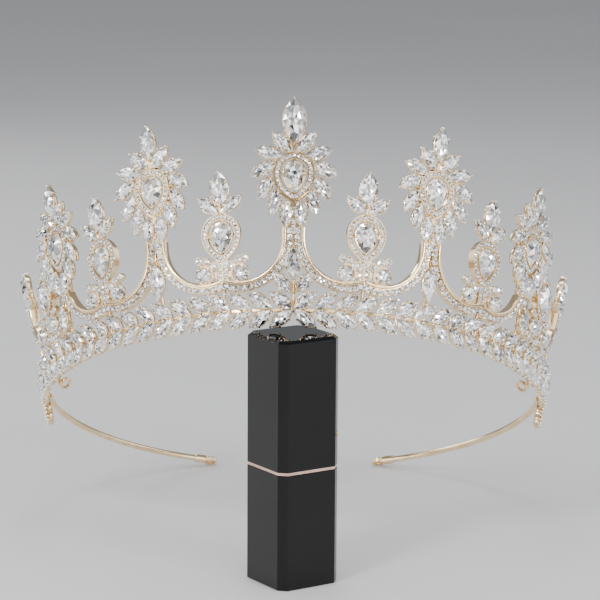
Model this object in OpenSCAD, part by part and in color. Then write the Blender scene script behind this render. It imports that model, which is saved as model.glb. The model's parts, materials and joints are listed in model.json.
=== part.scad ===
// Bridal crown on a block stand: a soldered metal crown set with clear cut stones,
// resting with its front on a tall square block and its two wire ends on the floor.
// Millimetres. X right, Y away from the front, Z up, floor at Z = 0.

/* [Ring] */
// Radius of the head ring, at the stem of the laurel band
ring_radius = 80; // [70:1:90]
// Outward lean of the wall of the crown, in degrees
flare = 11; // [0:1:20]
// Half angle covered by the laurel band, measured from the front
band_half_angle = 97; // [80:0.5:110]
// Height of the stem that carries the leaves
rail_height = 2; // [1.2:0.1:3]
// Thickness of the stem that carries the leaves
rail_thickness = 1.3; // [0.8:0.1:2]

/* [Laurel band] */
// Length of one leaf stone
leaf_length = 8; // [6:0.5:10]
// Width of one leaf stone
leaf_width = 3.8; // [3:0.1:5]
// Angle of the leaves to the stem
leaf_turn = 37; // [20:1:60]
// Distance from one leaf to the next along the stem
leaf_pitch = 6.1; // [5.5:0.1:8]
// Leaves in one row on each side
leaf_count = 22; // [10:1:24]
// Leaves at each end that grow smaller
leaf_taper_count = 4; // [0:1:8]
// Height of the stem above the plane of the head ring
stem_height = -1.5; // [-4:0.25:2]

/* [Settings] */
// Metal rim that shows round each stone
cup_rim = 0.2; // [0.1:0.05:0.5]
// Depth of the setting under a stone
cup_depth = 1.6; // [1:0.1:2.5]
// Air between a stone and its setting
stone_gap = 0.1; // [0.1:0.05:0.3]
// Height of a cut stone above its setting
stone_rise = 1.8; // [1:0.1:3]

/* [Large ornaments] */
// Angle of the two flank ornaments from the front
flank_angle = 29; // [26:0.1:33]
// Angle of the two side ornaments from the front
side_angle = 57.8; // [54:0.1:66]
// Height of the pear stone of the middle ornament
pear_height_middle = 38.6; // [30:0.2:45]
// Height of the pear stone of the next two ornaments
pear_height_flank = 37.6; // [30:0.2:45]
// Height of the pear stone of the two side ornaments
pear_height_side = 31.2; // [25:0.2:40]
// Length of the top stone of the middle ornament
top_length_middle = 14; // [10:0.5:16]
// Length of the top stone of the other large ornaments
top_length_other = 10.6; // [8:0.2:14]
// Width of a pear stone
pear_width = 7; // [5:0.1:8]
// Length of a pear stone
pear_length = 9.4; // [7:0.1:12]
// Length of a petal stone
petal_length = 8.2; // [5:0.1:9]
// Width of a petal stone
petal_width = 4.1; // [2.5:0.1:4.5]

/* [Small ornaments] */
// Height of the pear stone of the small ornaments
small_height = 20.8; // [16:0.2:28]
// Height of the pear stone of the two last small ornaments
small_height_end = 20; // [14:0.2:24]
// Diameter of the round stones beside each foot
round_diameter = 5; // [3:0.1:6]
// Height of the single stone of the two end finials
finial_height = 30; // [24:0.5:40]
// Angle of the two end finials from the front
finial_angle = 82; // [78:0.5:92]

/* [Swags] */
// Width of the set strip of a swag
swag_width = 3.2; // [1.6:0.1:4]
// Depth of the strip, from front to back
swag_depth = 2.4; // [1.5:0.1:4]
// Height of the lowest point of a swag
swag_low = 5.8; // [5:0.1:10]

/* [Headband] */
// Thickness of the headband wire
wire_thickness = 2; // [1.4:0.1:3]
// Angle at which the end eyelets sit, measured from the front
tip_angle = 158.5; // [140:0.5:170]
// Outer diameter of an end eyelet
eyelet_diameter = 4.6; // [3.5:0.1:7]
// Bore of an end eyelet
eyelet_bore = 2.4; // [1.5:0.1:4]
// Outer diameter of the two pin loops inside the band
loop_diameter = 4; // [3:0.1:6]
// Bore of the two pin loops
loop_bore = 2.6; // [1.5:0.1:4]
// Angle of the two pin loops from the front
loop_angle = 70; // [50:1:80]

/* [Block stand] */
// Side of the square block
block_side = 21; // [15:0.5:40]
// Height of the block
block_height = 75; // [50:1:110]
// Height of the bright seam round the block
seam_height = 35.4; // [10:0.2:60]
// Width of the chamfer on the upright edges
block_chamfer = 2.2; // [0.5:0.1:5]
// Turn of the block about its upright axis
block_turn = 33.5; // [0:0.5:45]
// How far the block stands forward of the front of the ring
block_forward = 6; // [-5:0.5:12]

/* [Hidden] */
$fn = 48;

R = ring_radius;
gold = [0.86, 0.70, 0.42];
clear = [0.88, 0.93, 0.97];
back = -0.2;                          // rear face of a setting, in the wall's own frame
front = back + cup_depth;             // front face of a setting
seat = front + stone_gap;             // underside of a stone
degrees_per_mm = 180 / (PI * R);
post_width = 1.2;
swag_back = -1.1;                     // rear face of a swag

// Stones that lie alone or in small groups: [length, width], places from the middle of their group
end_leaf_size = [7, 3];
top_size_middle = [top_length_middle, top_length_middle / 2];
top_size_other = [top_length_other, 5];
top_foot = 10;
finial_size = [11, 5.6];
finial_leaf_at = [3.45, -5.3];
trefoil_size = [10.4, 5.8];
trefoil_at = [0, 14.8];
trefoil_leaf_size = [7.6, 3.8];
trefoil_leaf_at = [3.45, 9.8];
trefoil_leaf_turn = 40;
round_at = [5.7, -11];
insert_size_middle = [9.2, 5];
insert_size_flank = [10.2, 4.8];
insert_size_side = [7.4, 3.8];
insert_leaf_size = [7.4, 3.8];
insert_leaf_at = [3.25, 6.5];
insert_leaf_turn = 50;
insert_lift = 0.7;                    // how far the upright stones stand out over the meeting swags

// Places of the three small studs over a round stone, from the middle of the pear stone
studs = [[3, -8.4], [4.9, -6.9], [7.1, -6.5]];

// Heights of the upright stones under the large ornaments
insert_height_middle = 12.3;
insert_height_flank = 9.6;
insert_height_side = 8.3;

// How far the lowest petals reach below their pear stone, down to the meeting swags
petal_reach = 15.6;

// Angles of the ornaments on one side
large_1 = flank_angle;
large_2 = side_angle;
small_1 = flank_angle / 2 + 0.2;
small_2 = (flank_angle + side_angle) / 2;
small_3 = side_angle + 9.4;
swag_top = pear_height_middle - petal_reach;
swag_top_flank = pear_height_flank - petal_reach;
swag_top_side = pear_height_side - petal_reach;
swag_top_finial = finial_height - 8;

// The crown leans back so far that its front clears the block and its eyelets meet the floor
eyelet_thick = 1.6;
rest_back = R * -cos(tip_angle) + eyelet_diameter / 2;
rest_low = stem_height - eyelet_thick / 2;
leaf_drop = stem_height - 0.3 - leaf_length * sin(leaf_turn) - 0.65;
rest_front = (R + leaf_drop * sin(flare) + back) * cos(5.5);
reach = rest_front + rest_back;
rise = rest_low - leaf_drop * cos(flare);
tilt = asin((block_height + 0.1) / sqrt(reach * reach + rise * rise)) + atan(rise / reach);
lift = rest_back * sin(tilt) - rest_low * cos(tilt);

// A pin loop leans so that its axis meets the stem of the band a few degrees further back
loop_in = 3.9;
loop_height = -6.9;
loop_thick = 0.9;
loop_aim_angle = 4;
stem_middle = R - 1 + rail_thickness / 2;
loop_aim = [stem_middle * sin(loop_aim_angle), R - loop_in - stem_middle * cos(loop_aim_angle),
  stem_height - loop_height];
loop_lean = acos(loop_aim[2] / norm(loop_aim));
loop_swing = atan2(loop_aim[1], loop_aim[0]);

// Box of the whole, from the block's front edge to the eyelets, centred on the origin
block_y = -R * cos(tilt) - block_forward;
half_deep = (block_side / 2) * (cos(block_turn) + sin(block_turn)) - block_chamfer * sin(block_turn);
y_front = block_y - half_deep;
y_back = rest_back * cos(tilt) + (stem_height + eyelet_thick / 2) * sin(tilt);
y_shift = -(y_front + y_back) / 2;

// Petals of a large ornament: foot_x, foot_y, turn
petals = [[0.5, 7.3, 44.5], [3.2, 6.1, 13.2], [5.7, 4.45, -33.2], [6.2, 0.2, -58.9],
  [4.7, -3.6, -77.1], [1.9, -7, -86]];

// Placing on the wall of the crown
// x along the ring, y up the wall, z out of the wall, at an angle from the front
function on_wall(angle, x, y, z) =
  let (r = R + y * sin(flare) + z * cos(flare), u = y * cos(flare) - z * sin(flare))
  [x * cos(angle) + r * sin(angle), x * sin(angle) - r * cos(angle), u];

function turned(p, turn) = [p[0] * cos(turn) - p[1] * sin(turn), p[0] * sin(turn) + p[1] * cos(turn)];

module wall(angle) rotate([0, 0, angle]) translate([0, -R, 0]) rotate([90 + flare, 0, 0]) children();
module slab(low, high) translate([0, 0, low]) linear_extrude(height = high - low) children();
module worn() translate([0, y_shift, lift]) rotate([-tilt, 0, 0]) children();
module both() { children(); mirror([1, 0, 0]) children(); }

// Outlines
// A leaf is a pointed oval, and its size is [length, width]
function leaf_radius(size) = (size[0] * size[0] / 4 + size[1] * size[1] / 4) / size[1];

// Plan of the metal setting round a leaf stone
module cup2d(size) {
  r = leaf_radius(size);
  intersection() {
    translate([0, size[1] / 2 - r]) circle(r + cup_rim);
    translate([0, r - size[1] / 2]) circle(r + cup_rim);
  }
}

// Outline of a leaf stone, four chords to a side
function leaf_outline(size) =
  let (r = leaf_radius(size), h = size[1] / 2, m = asin(size[0] / 2 / r))
  concat([for (k = [0:3]) let (a = m * (1 - k / 2)) [r * sin(a), r * cos(a) - r + h]],
    [for (k = [0:3]) let (a = -m * (1 - k / 2)) [r * sin(a), -r * cos(a) + r - h]]);

// Pear with its point down, centred on its length
function pear_outline(w, l, head, side) =
  let (a = w / 2, d = l - a, c = l / 2 - a, r = (a * a + d * d) / (2 * a), m = asin(d / r))
  concat([for (k = [0:head]) let (q = 180 * k / head) [a * cos(q), c + a * sin(q)]],
    [for (k = [1:side]) let (q = m * k / side) [-(r * cos(q) - r + a), c - r * sin(q)]],
    [for (k = [side - 1:-1:1]) let (q = m * k / side) [r * cos(q) - r + a, c - r * sin(q)]]);

function round_outline(d) = [for (k = [0:7]) [d / 2 * cos(45 * k + 22.5), d / 2 * sin(45 * k + 22.5)]];

// Cut stones
// A stone: [outline, angle, x, y, turn, underside, rise]
// Three rings of points: underside, top of the girdle, table
function stone_points(s) =
  let (n = len(s[0]))
  [for (level = [0:2]) for (p = s[0])
    let (k = level == 2 ? 0.56 : 1,
         z = s[5] + (level == 0 ? 0 : level == 1 ? 0.3 * s[6] : s[6]),
         q = turned(p * k, s[4]))
    on_wall(s[1], s[2] + q[0], s[3] + q[1], z)];

function stone_faces(n, o) = concat(
  [[for (i = [0:n - 1]) o + i]],
  [for (level = [0:1]) for (i = [0:n - 1])
    let (j = (i + 1) % n, b = o + level * n) [b + i, b + n + i, b + n + j, b + j]],
  [[for (i = [n - 1:-1:0]) o + 2 * n + i]]);

function sum(v, k) = k <= 0 ? 0 : v[k - 1] + sum(v, k - 1);

module stones(list) {
  sizes = [for (s = list) 3 * len(s[0])];
  polyhedron(points = [for (s = list) each stone_points(s)],
    faces = [for (k = [0:len(list) - 1]) each stone_faces(len(list[k][0]), sum(sizes, k))]);
}

// Laurel band
leaf_start = 0.3;                     // from the middle of the front to the first leaf
leaf_size = [leaf_length, leaf_width];
leaf_scales = [for (i = [0:leaf_count - 1]) 1 - 0.11 * max(0, i - leaf_count + leaf_taper_count + 1)];
function leaf_foot(i) = leaf_start + leaf_pitch * sum(leaf_scales, i);
function leaf_mid(i) = (leaf_foot(i) + leaf_scales[i] * leaf_length / 2 * cos(leaf_turn)) * degrees_per_mm;
leaf_rise = 0.3 + leaf_length / 2 * sin(leaf_turn);
end_leaf_angle = (leaf_foot(leaf_count) + end_leaf_size[0] / 2 + 0.2) * degrees_per_mm;

// row is 1 for the upper leaves and -1 for the lower ones, side is 1 or -1
function band_stones(row, side) = [for (i = [0:leaf_count - 1])
  let (f = leaf_scales[i])
  [leaf_outline(f * leaf_size), side * leaf_mid(i), 0,
    stem_height + row * f * leaf_rise, side * row * leaf_turn, seat, f * stone_rise]];
function end_stone(side) = [leaf_outline(end_leaf_size), side * end_leaf_angle, 0, stem_height, 0,
  seat, 0.7 * stone_rise];

module band_frame() {
  rotate([0, 0, -90 - band_half_angle]) rotate_extrude(angle = 2 * band_half_angle, $fn = 144)
    translate([R - 1, stem_height - rail_height / 2]) square([rail_thickness, rail_height]);
  both() {
    for (i = [0:leaf_count - 1]) wall(leaf_mid(i)) slab(back, front) for (row = [-1, 1])
      translate([0, stem_height + row * leaf_scales[i] * leaf_rise]) rotate(row * leaf_turn)
        cup2d(leaf_scales[i] * leaf_size);
    wall(end_leaf_angle) slab(back, front) translate([0, stem_height]) cup2d(end_leaf_size);
  }
}

// Ornaments
module halo2d() difference() {
  polygon(pear_outline(pear_width + 5, pear_length + 5.4, 8, 5));
  polygon(pear_outline(pear_width + 1.3, pear_length + 1.4, 8, 5));
}

// Basket behind a pear stone, on two bars across the halo, with a collar that carries the petals
module pear_basket(collar = 0) slab(-1, 0.6) {
  polygon(pear_outline(pear_width - 1.4, pear_length - 2, 6, 4));
  translate([-5, 0.6]) square([10, 1.2]);
  translate([-0.6, -6.2]) square([1.2, 12.6]);
  if (collar > 0) difference() {
    polygon(pear_outline(pear_width + 5 + 2 * collar, pear_length + 5.4 + 2.4 * collar, 10, 6));
    polygon(pear_outline(pear_width + 2.2, pear_length + 2.4, 8, 5));
  }
}

module large_ornament(angle, height, top_size) {
  wall(angle) translate([0, height, 0]) {
    slab(back, front) {
      halo2d();
      for (s = [-1, 1]) for (p = petals)
        translate([s * p[0], p[1]]) rotate(s > 0 ? p[2] : 180 - p[2]) translate([petal_length / 2, 0])
          cup2d([petal_length, petal_width]);
      translate([0, top_foot + top_size[0] / 2]) rotate(90) cup2d(top_size);
      translate([-1.1, 6.4]) square([2.2, 5]);
    }
    pear_basket(0.8);
    slab(-0.9, 0.9) translate([-2.6, -17.4]) square([5.2, 9.6]);
  }
}

// Settings of two leaves that spread from the middle
module leaf_pair_cups(at, turn, size) for (s = [-1, 1])
  translate([s * at[0], at[1]]) rotate(s * turn) cup2d(size);

module small_ornament(angle, height, trefoil) {
  wall(angle) translate([0, height, 0]) {
    slab(back, front) {
      halo2d();
      if (trefoil) {
        translate(trefoil_at) rotate(90) cup2d(trefoil_size);
        leaf_pair_cups(trefoil_leaf_at, trefoil_leaf_turn, trefoil_leaf_size);
        translate([-0.9, 6.4]) square([1.8, 6.5]);
      }
      for (s = [-1, 1]) {
        translate([s * round_at[0], round_at[1]]) circle(d = round_diameter + 0.5);
        for (p = studs) translate([s * p[0], p[1]]) circle(r = 1.3);
      }
      translate([-5.2, -11.8]) square([10.4, 1.7]);
      translate([-4.4, -8.4]) square([8.8, 1.4]);
      translate([-1.9, -height + swag_low - 0.4]) square([3.8, height - swag_low - 5.9]);
    }
    pear_basket();
  }
  post(angle, swag_low + 2);
}

// Upright bar from the stem of the band to the swags
module post(angle, top) wall(angle) slab(-0.85, 0.65) translate([-post_width / 2, stem_height])
  square([post_width, top - stem_height]);

// Half a swag, from the meeting point under an ornament down to a foot
module swag(from, to, top) {
  span = abs(to - from) / degrees_per_mm * 1.03;
  way = to > from ? 1 : -1;
  r = 0.69 * span;
  cx = 0.757 * span - span / 2;
  cy = swag_low + r;
  h = swag_width / 2;
  end = span / 2 - 1;
  wall((from + to) / 2) mirror([way > 0 ? 0 : 1, 0, 0]) slab(swag_back, swag_back + swag_depth) {
    intersection() {
      translate([cx, cy]) difference() { circle(r + h, $fn = 96); circle(r - h, $fn = 96); }
      polygon([[cx - r - 3, swag_low - 3], [end, swag_low - 3], [end, cy - 2],
        [cx, cy - 2], [cx, min(top, cy)], [cx - r - 3, min(top, cy)]]);
    }
    if (top > cy) translate([cx - r - h + 0.1, cy - 1]) square([2 * h - 0.2, top - cy + 1]);
  }
}

module upright_cup(angle, height, size, lift = 0) wall(angle) slab(back, front + lift)
  translate([0, height]) rotate(90) cup2d(size);

module ornaments_frame() {
  large_ornament(0, pear_height_middle, top_size_middle);
  post(0, swag_top + 1);
  upright_cup(0, insert_height_middle, insert_size_middle, insert_lift);
  wall(0) slab(back, front) leaf_pair_cups(insert_leaf_at, insert_leaf_turn, insert_leaf_size);
  both() {
    large_ornament(large_1, pear_height_flank, top_size_other);
    large_ornament(large_2, pear_height_side, top_size_other);
    post(large_1, swag_top_flank + 1);
    post(large_2, swag_top_side + 1);
    upright_cup(large_1, insert_height_flank, insert_size_flank, insert_lift);
    upright_cup(large_2, insert_height_side, insert_size_side, insert_lift);
    small_ornament(small_1, small_height, true);
    small_ornament(small_2, small_height, true);
    small_ornament(small_3, small_height_end, false);
    upright_cup(finial_angle, finial_height, finial_size);
    wall(finial_angle) slab(back, front) translate([0, finial_height])
      leaf_pair_cups(finial_leaf_at, trefoil_leaf_turn, trefoil_leaf_size);
    wall(finial_angle) slab(-0.9, 0.9) translate([-2.4, swag_top_finial - 2]) square([4.8, 6]);
    post(finial_angle, swag_top_finial + 1);
    swag(0, small_1, swag_top);
    swag(large_1, small_1, swag_top_flank);
    swag(large_1, small_2, swag_top_flank);
    swag(large_2, small_2, swag_top_side);
    swag(large_2, small_3, swag_top_side);
    swag(finial_angle, small_3, swag_top_finial);
  }
}

// Headband wire, which stops just short of the sleeve of each end eyelet
module headband() both() {
  from = band_half_angle - 5;
  to = tip_angle - 4.4;
  rotate([0, 0, -90 + from]) rotate_extrude(angle = to - from, $fn = 96)
    translate([R - 0.5, stem_height]) circle(d = wire_thickness, $fn = 24);
}

module crown_frame() color(gold) worn() {
  band_frame();
  ornaments_frame();
  headband();
}

module ring_of(outer, bore, thick) difference() {
  cylinder(d = outer, h = thick);
  translate([0, 0, -1]) cylinder(d = bore, h = thick + 2);
}

// Sleeve at the end of the wire with a flat eyelet
module end_eyelet(side) color(gold) worn() {
  rotate([0, 0, side * (tip_angle - 2.8)]) translate([0, -R + 0.45, stem_height]) rotate([0, 90, 0])
    cylinder(d = wire_thickness + 0.8, h = 4, center = true, $fn = 24);
  rotate([0, 0, side * tip_angle]) translate([0, -R, stem_height - eyelet_thick / 2])
    ring_of(eyelet_diameter, eyelet_bore, eyelet_thick);
}

// Loop for a hairpin with a tab that lies close behind the lower leaves
module pin_loop(side) color(gold) worn() {
  wall(side * loop_angle) slab(-1.1, -0.35) translate([-0.6, -7.8]) square([1.2, 4.7]);
  rotate([0, 0, side * loop_angle]) translate([0, -R + loop_in, loop_height])
    rotate([0, loop_lean, side > 0 ? loop_swing : 180 - loop_swing]) translate([0, 0, -loop_thick / 2])
      ring_of(loop_diameter, loop_bore, loop_thick);
}

module end_eyelet_left() end_eyelet(-1);
module end_eyelet_right() end_eyelet(1);
module pin_loop_left() pin_loop(-1);
module pin_loop_right() pin_loop(1);

// Stone fields
module clear_stones(list) color(clear) worn() stones(list);

module band_upper_stones_left() clear_stones(band_stones(1, -1));
module band_upper_stones_right() clear_stones(band_stones(1, 1));
module band_lower_stones_left() clear_stones(concat(band_stones(-1, -1), [end_stone(-1)]));
module band_lower_stones_right() clear_stones(concat(band_stones(-1, 1), [end_stone(1)]));

function petal_stones(angle, height) = [for (s = [-1, 1]) for (p = petals)
  let (t = s > 0 ? p[2] : 180 - p[2], m = petal_length / 2 + 0.2, q = turned([m, 0], t))
  [leaf_outline([petal_length - 0.3, petal_width - 0.2]), angle, s * p[0] + q[0], height + p[1] + q[1], t,
    seat, stone_rise]];

module petal_stones_middle() clear_stones(petal_stones(0, pear_height_middle));
module petal_stones_flank_left() clear_stones(petal_stones(-large_1, pear_height_flank));
module petal_stones_flank_right() clear_stones(petal_stones(large_1, pear_height_flank));
module petal_stones_side_left() clear_stones(petal_stones(-large_2, pear_height_side));
module petal_stones_side_right() clear_stones(petal_stones(large_2, pear_height_side));

function pear_stone(angle, height) = [[pear_outline(pear_width, pear_length, 6, 3), angle, 0, height, 0,
  0.6 + stone_gap, 2.7]];

module pear_middle() clear_stones(pear_stone(0, pear_height_middle));
module pear_flank_left() clear_stones(pear_stone(-large_1, pear_height_flank));
module pear_flank_right() clear_stones(pear_stone(large_1, pear_height_flank));
module pear_side_left() clear_stones(pear_stone(-large_2, pear_height_side));
module pear_side_right() clear_stones(pear_stone(large_2, pear_height_side));
module pear_small_1_left() clear_stones(pear_stone(-small_1, small_height));
module pear_small_1_right() clear_stones(pear_stone(small_1, small_height));
module pear_small_2_left() clear_stones(pear_stone(-small_2, small_height));
module pear_small_2_right() clear_stones(pear_stone(small_2, small_height));
module pear_small_3_left() clear_stones(pear_stone(-small_3, small_height_end));
module pear_small_3_right() clear_stones(pear_stone(small_3, small_height_end));

function upright_stone(angle, height, size, lift = 0) = [leaf_outline(size), angle, 0, height, 90,
  seat + lift, size[0] > 12 ? 2.6 : 2.2];
function top_stone(angle, height, size) = [upright_stone(angle, height + top_foot + size[0] / 2, size)];
function leaf_pair_stones(angle, height, at, turn, size) = [for (s = [-1, 1])
  [leaf_outline(size), angle, s * at[0], height + at[1], s * turn, seat, stone_rise]];

module top_stone_middle() clear_stones(top_stone(0, pear_height_middle, top_size_middle));
module top_stone_flank_left() clear_stones(top_stone(-large_1, pear_height_flank, top_size_other));
module top_stone_flank_right() clear_stones(top_stone(large_1, pear_height_flank, top_size_other));
module top_stone_side_left() clear_stones(top_stone(-large_2, pear_height_side, top_size_other));
module top_stone_side_right() clear_stones(top_stone(large_2, pear_height_side, top_size_other));

function finial_stones(angle) = concat([upright_stone(angle, finial_height, finial_size)],
  leaf_pair_stones(angle, finial_height, finial_leaf_at, trefoil_leaf_turn, trefoil_leaf_size));

module finial_stones_left() clear_stones(finial_stones(-finial_angle));
module finial_stones_right() clear_stones(finial_stones(finial_angle));

function trefoil_stones(angle) = concat(
  [upright_stone(angle, small_height + trefoil_at[1], trefoil_size)],
  leaf_pair_stones(angle, small_height, trefoil_leaf_at, trefoil_leaf_turn, trefoil_leaf_size));

module trefoil_stones_left() clear_stones(concat(trefoil_stones(-small_1), trefoil_stones(-small_2)));
module trefoil_stones_right() clear_stones(concat(trefoil_stones(small_1), trefoil_stones(small_2)));

function round_stones(angle, height) = [for (s = [-1, 1])
  [round_outline(round_diameter), angle, s * round_at[0], height + round_at[1], 0, seat, 1.9]];

module round_stones_left() clear_stones(concat(round_stones(-small_1, small_height),
  round_stones(-small_2, small_height), round_stones(-small_3, small_height_end)));
module round_stones_right() clear_stones(concat(round_stones(small_1, small_height),
  round_stones(small_2, small_height), round_stones(small_3, small_height_end)));

module insert_stones_middle() clear_stones(concat(
  [upright_stone(0, insert_height_middle, insert_size_middle, insert_lift)],
  leaf_pair_stones(0, 0, insert_leaf_at, insert_leaf_turn, insert_leaf_size)));

function flank_insert(angle) = [upright_stone(angle, insert_height_flank, insert_size_flank, insert_lift)];
function side_insert(angle) = [upright_stone(angle, insert_height_side, insert_size_side, insert_lift)];

module insert_stone_flank_left() clear_stones(flank_insert(-large_1));
module insert_stone_flank_right() clear_stones(flank_insert(large_1));
module insert_stone_side_left() clear_stones(side_insert(-large_2));
module insert_stone_side_right() clear_stones(side_insert(large_2));

// Block stand
module block2d(grow = 0) {
  a = block_side / 2 + grow;
  c = block_chamfer;
  polygon([[-a, -a + c], [-a + c, -a], [a - c, -a], [a, -a + c],
    [a, a - c], [a - c, a], [-a + c, a], [-a, a - c]]);
}
module at_block() translate([0, block_y + y_shift, 0]) rotate([0, 0, block_turn]) children();

module stand_base() color([0.06, 0.06, 0.07]) at_block()
  linear_extrude(height = seam_height - 0.4) block2d();

module stand_seam() color([0.75, 0.5, 0.42]) at_block() translate([0, 0, seam_height - 0.3])
  linear_extrude(height = 0.6) block2d(-0.1);

// The cap has a small bevel round its top face
module stand_cap() color([0.06, 0.06, 0.07]) at_block() difference() {
  translate([0, 0, seam_height + 0.4]) linear_extrude(height = block_height - seam_height - 0.4) block2d();
  for (q = [0:3]) rotate([0, 0, 90 * q]) translate([0, -block_side / 2, block_height]) rotate([45, 0, 0])
    cube([block_side + 2, 1.2, 1.2], center = true);
}

crown_frame();
end_eyelet_left();
end_eyelet_right();
pin_loop_left();
pin_loop_right();
band_upper_stones_left();
band_upper_stones_right();
band_lower_stones_left();
band_lower_stones_right();
petal_stones_middle();
petal_stones_flank_left();
petal_stones_flank_right();
petal_stones_side_left();
petal_stones_side_right();
pear_middle();
pear_flank_left();
pear_flank_right();
pear_side_left();
pear_side_right();
pear_small_1_left();
pear_small_1_right();
pear_small_2_left();
pear_small_2_right();
pear_small_3_left();
pear_small_3_right();
top_stone_middle();
top_stone_flank_left();
top_stone_flank_right();
top_stone_side_left();
top_stone_side_right();
finial_stones_left();
finial_stones_right();
trefoil_stones_left();
trefoil_stones_right();
round_stones_left();
round_stones_right();
insert_stones_middle();
insert_stone_flank_left();
insert_stone_flank_right();
insert_stone_side_left();
insert_stone_side_right();
stand_base();
stand_seam();
stand_cap();
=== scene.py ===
import json
import math
from collections import namedtuple

import bpy
import numpy as np
from mathutils import Matrix, Vector


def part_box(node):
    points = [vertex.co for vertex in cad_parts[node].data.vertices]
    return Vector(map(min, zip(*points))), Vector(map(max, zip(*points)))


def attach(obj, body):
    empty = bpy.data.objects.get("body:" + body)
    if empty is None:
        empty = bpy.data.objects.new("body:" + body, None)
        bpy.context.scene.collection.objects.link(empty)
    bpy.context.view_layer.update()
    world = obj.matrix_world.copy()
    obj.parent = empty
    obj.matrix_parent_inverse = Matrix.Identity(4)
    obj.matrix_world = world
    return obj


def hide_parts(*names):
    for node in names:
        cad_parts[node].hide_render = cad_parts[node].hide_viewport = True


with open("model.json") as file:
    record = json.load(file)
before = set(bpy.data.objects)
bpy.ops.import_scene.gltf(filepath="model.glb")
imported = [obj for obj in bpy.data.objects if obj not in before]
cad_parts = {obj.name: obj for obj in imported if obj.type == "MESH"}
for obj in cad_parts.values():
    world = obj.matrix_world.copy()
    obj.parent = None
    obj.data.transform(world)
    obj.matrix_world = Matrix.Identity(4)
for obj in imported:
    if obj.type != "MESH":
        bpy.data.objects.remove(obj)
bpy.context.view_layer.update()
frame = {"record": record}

rng = np.random.default_rng(11)

# Millimetres and degrees, down to the block. What the solids have too is the same there

# Ring and wall
RING = 80.0                    # radius
FLARE = math.radians(11)       # lean of the wall out of the ring, in radians
DEGREES_PER_MM = 180 / (math.pi * RING)
BACK = -0.2                    # rear of a setting, out of the wall
GIRDLE = 1.75                  # height of a stone's widest line, out of the wall
PEAR_GIRDLE = 1.6

# Laurel band: its stem, the leaves of its two rows, the smaller ones near its ends and the last one
BAND_HALF_ANGLE = 97.0
RAIL = (1.3, 2.0)              # thickness and height of the stem
RAIL_REAR, RAIL_EASE = -1.0, 0.25
RAIL_SHOWN = 0.6               # share of the stem's height that shows
STEM = -1.5                    # height of the stem's middle
LEAF = (8.0, 3.8)
LEAF_TURN, LEAF_PITCH, LEAF_COUNT = 37.0, 6.1, 22
LEAF_GAP = 0.3                 # from the spot where a leaf springs to its foot
TAPER_COUNT, TAPER_STEP = 4, 0.11
END_LEAF, END_GAP = (7.0, 3.0), 0.2

# Small leaves that hang from each end of the band, at a scale of its own leaves. The solids lack them
TAIL_ANGLE, TAIL_TOP, TAIL_SCALE, TAIL_ROWS, TAIL_GAP = 94.0, -3.9, 0.45, 2, 0.2
# The bar behind them: half width, foot, top, rear, front
TAIL_BAR = (0.5, TAIL_TOP - 5.0, STEM, BACK, 0.9)

# Large ornaments: name, angle, height of the pear stone, size of the top stone, insert's height and size
Large = namedtuple("Large", "name angle height top insert_y insert")
LARGE = [
    Large("middle", 0.0, 38.6, (14.0, 7.0), 12.3, (9.2, 5.0)),
    Large("flank_left", -29.0, 37.6, (10.6, 5.0), 9.6, (10.2, 4.8)),
    Large("flank_right", 29.0, 37.6, (10.6, 5.0), 9.6, (10.2, 4.8)),
    Large("side_left", -57.8, 31.2, (10.6, 5.0), 8.3, (7.4, 3.8)),
    Large("side_right", 57.8, 31.2, (10.6, 5.0), 8.3, (7.4, 3.8)),
]
PEAR = (7.0, 9.4)
PETAL = (8.0, 3.95)
# Petals of one side: foot x, foot y, turn
PETALS = [
    (0.5, 7.3, 44.5), (3.2, 6.1, 13.2), (5.7, 4.45, -33.2),
    (6.2, 0.2, -58.9), (4.7, -3.6, -77.1), (1.9, -7, -86),
]
TOP_FOOT = 10.0                # foot of the top stone, over the pear stone's middle
INSERT_LEAF, INSERT_LEAF_AT, INSERT_LEAF_TURN = (7.4, 3.8), (3.25, 6.5), 50.0
INSERT_LIFT = 0.7              # how far the upright inserts stand out past the other stones
# Bars, from the pear stone's middle: half width, foot, top, rear, front
TOP_BAR = (1.1, 6.4, 11.2, BACK, 1.0)
NECK = (2.6, -17.4, -7.8, -0.9, 0.9)
NECK_STRIP = (1.05, -17.4, -13.2, 0.4, 1.3)
NECK_STONES, NECK_STONE, NECK_FLOOR = 3, 0.68, 1.2
NECK_MARGIN, NECK_PITCH = 0.7, 1.45
POST_SHORT = 15.0              # how far under the pear stone's middle the post ends

# Small ornaments: name, angle, height of the pear stone, whether three leaves stand over it
Small = namedtuple("Small", "name angle height trefoil")
SMALL = [
    Small(f"small_{k}_{side}", way * angle, height, trefoil)
    for k, angle, height, trefoil in [(1, 14.7, 20.8, True), (2, 43.4, 20.8, True), (3, 67.2, 20.0, False)]
    for side, way in [("left", -1), ("right", 1)]
]
TREFOIL, TREFOIL_Y = (10.4, 5.8), 14.8
TREFOIL_LEAF, TREFOIL_LEAF_AT, TREFOIL_LEAF_TURN = (7.6, 3.8), (3.45, 9.8), 40.0
ROUND, ROUND_AT = (5.0, 5.0), (5.7, -11.0)
# Studs of one side: x and y from the pear stone's middle; then the turned form, and the stone on it
STUDS = [(3.0, -8.4), (4.9, -6.9), (7.1, -6.5)]
STUD_PROFILE = [(1.05, BACK), (1.26, 0.4), (1.3, 1.3), (1.2, 1.42)]
STUD_STONE, STUD_FLOOR = 1.05, 1.3
# Bars, from the pear stone's middle: half width, foot, top, rear, front
CROSSBARS = [(5.2, -11.8, -10.1, BACK, 0.9), (4.4, -8.4, -7.0, BACK, 0.9)]
TREFOIL_BAR = (0.9, 6.4, 12.9, BACK, 1.0)

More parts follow.
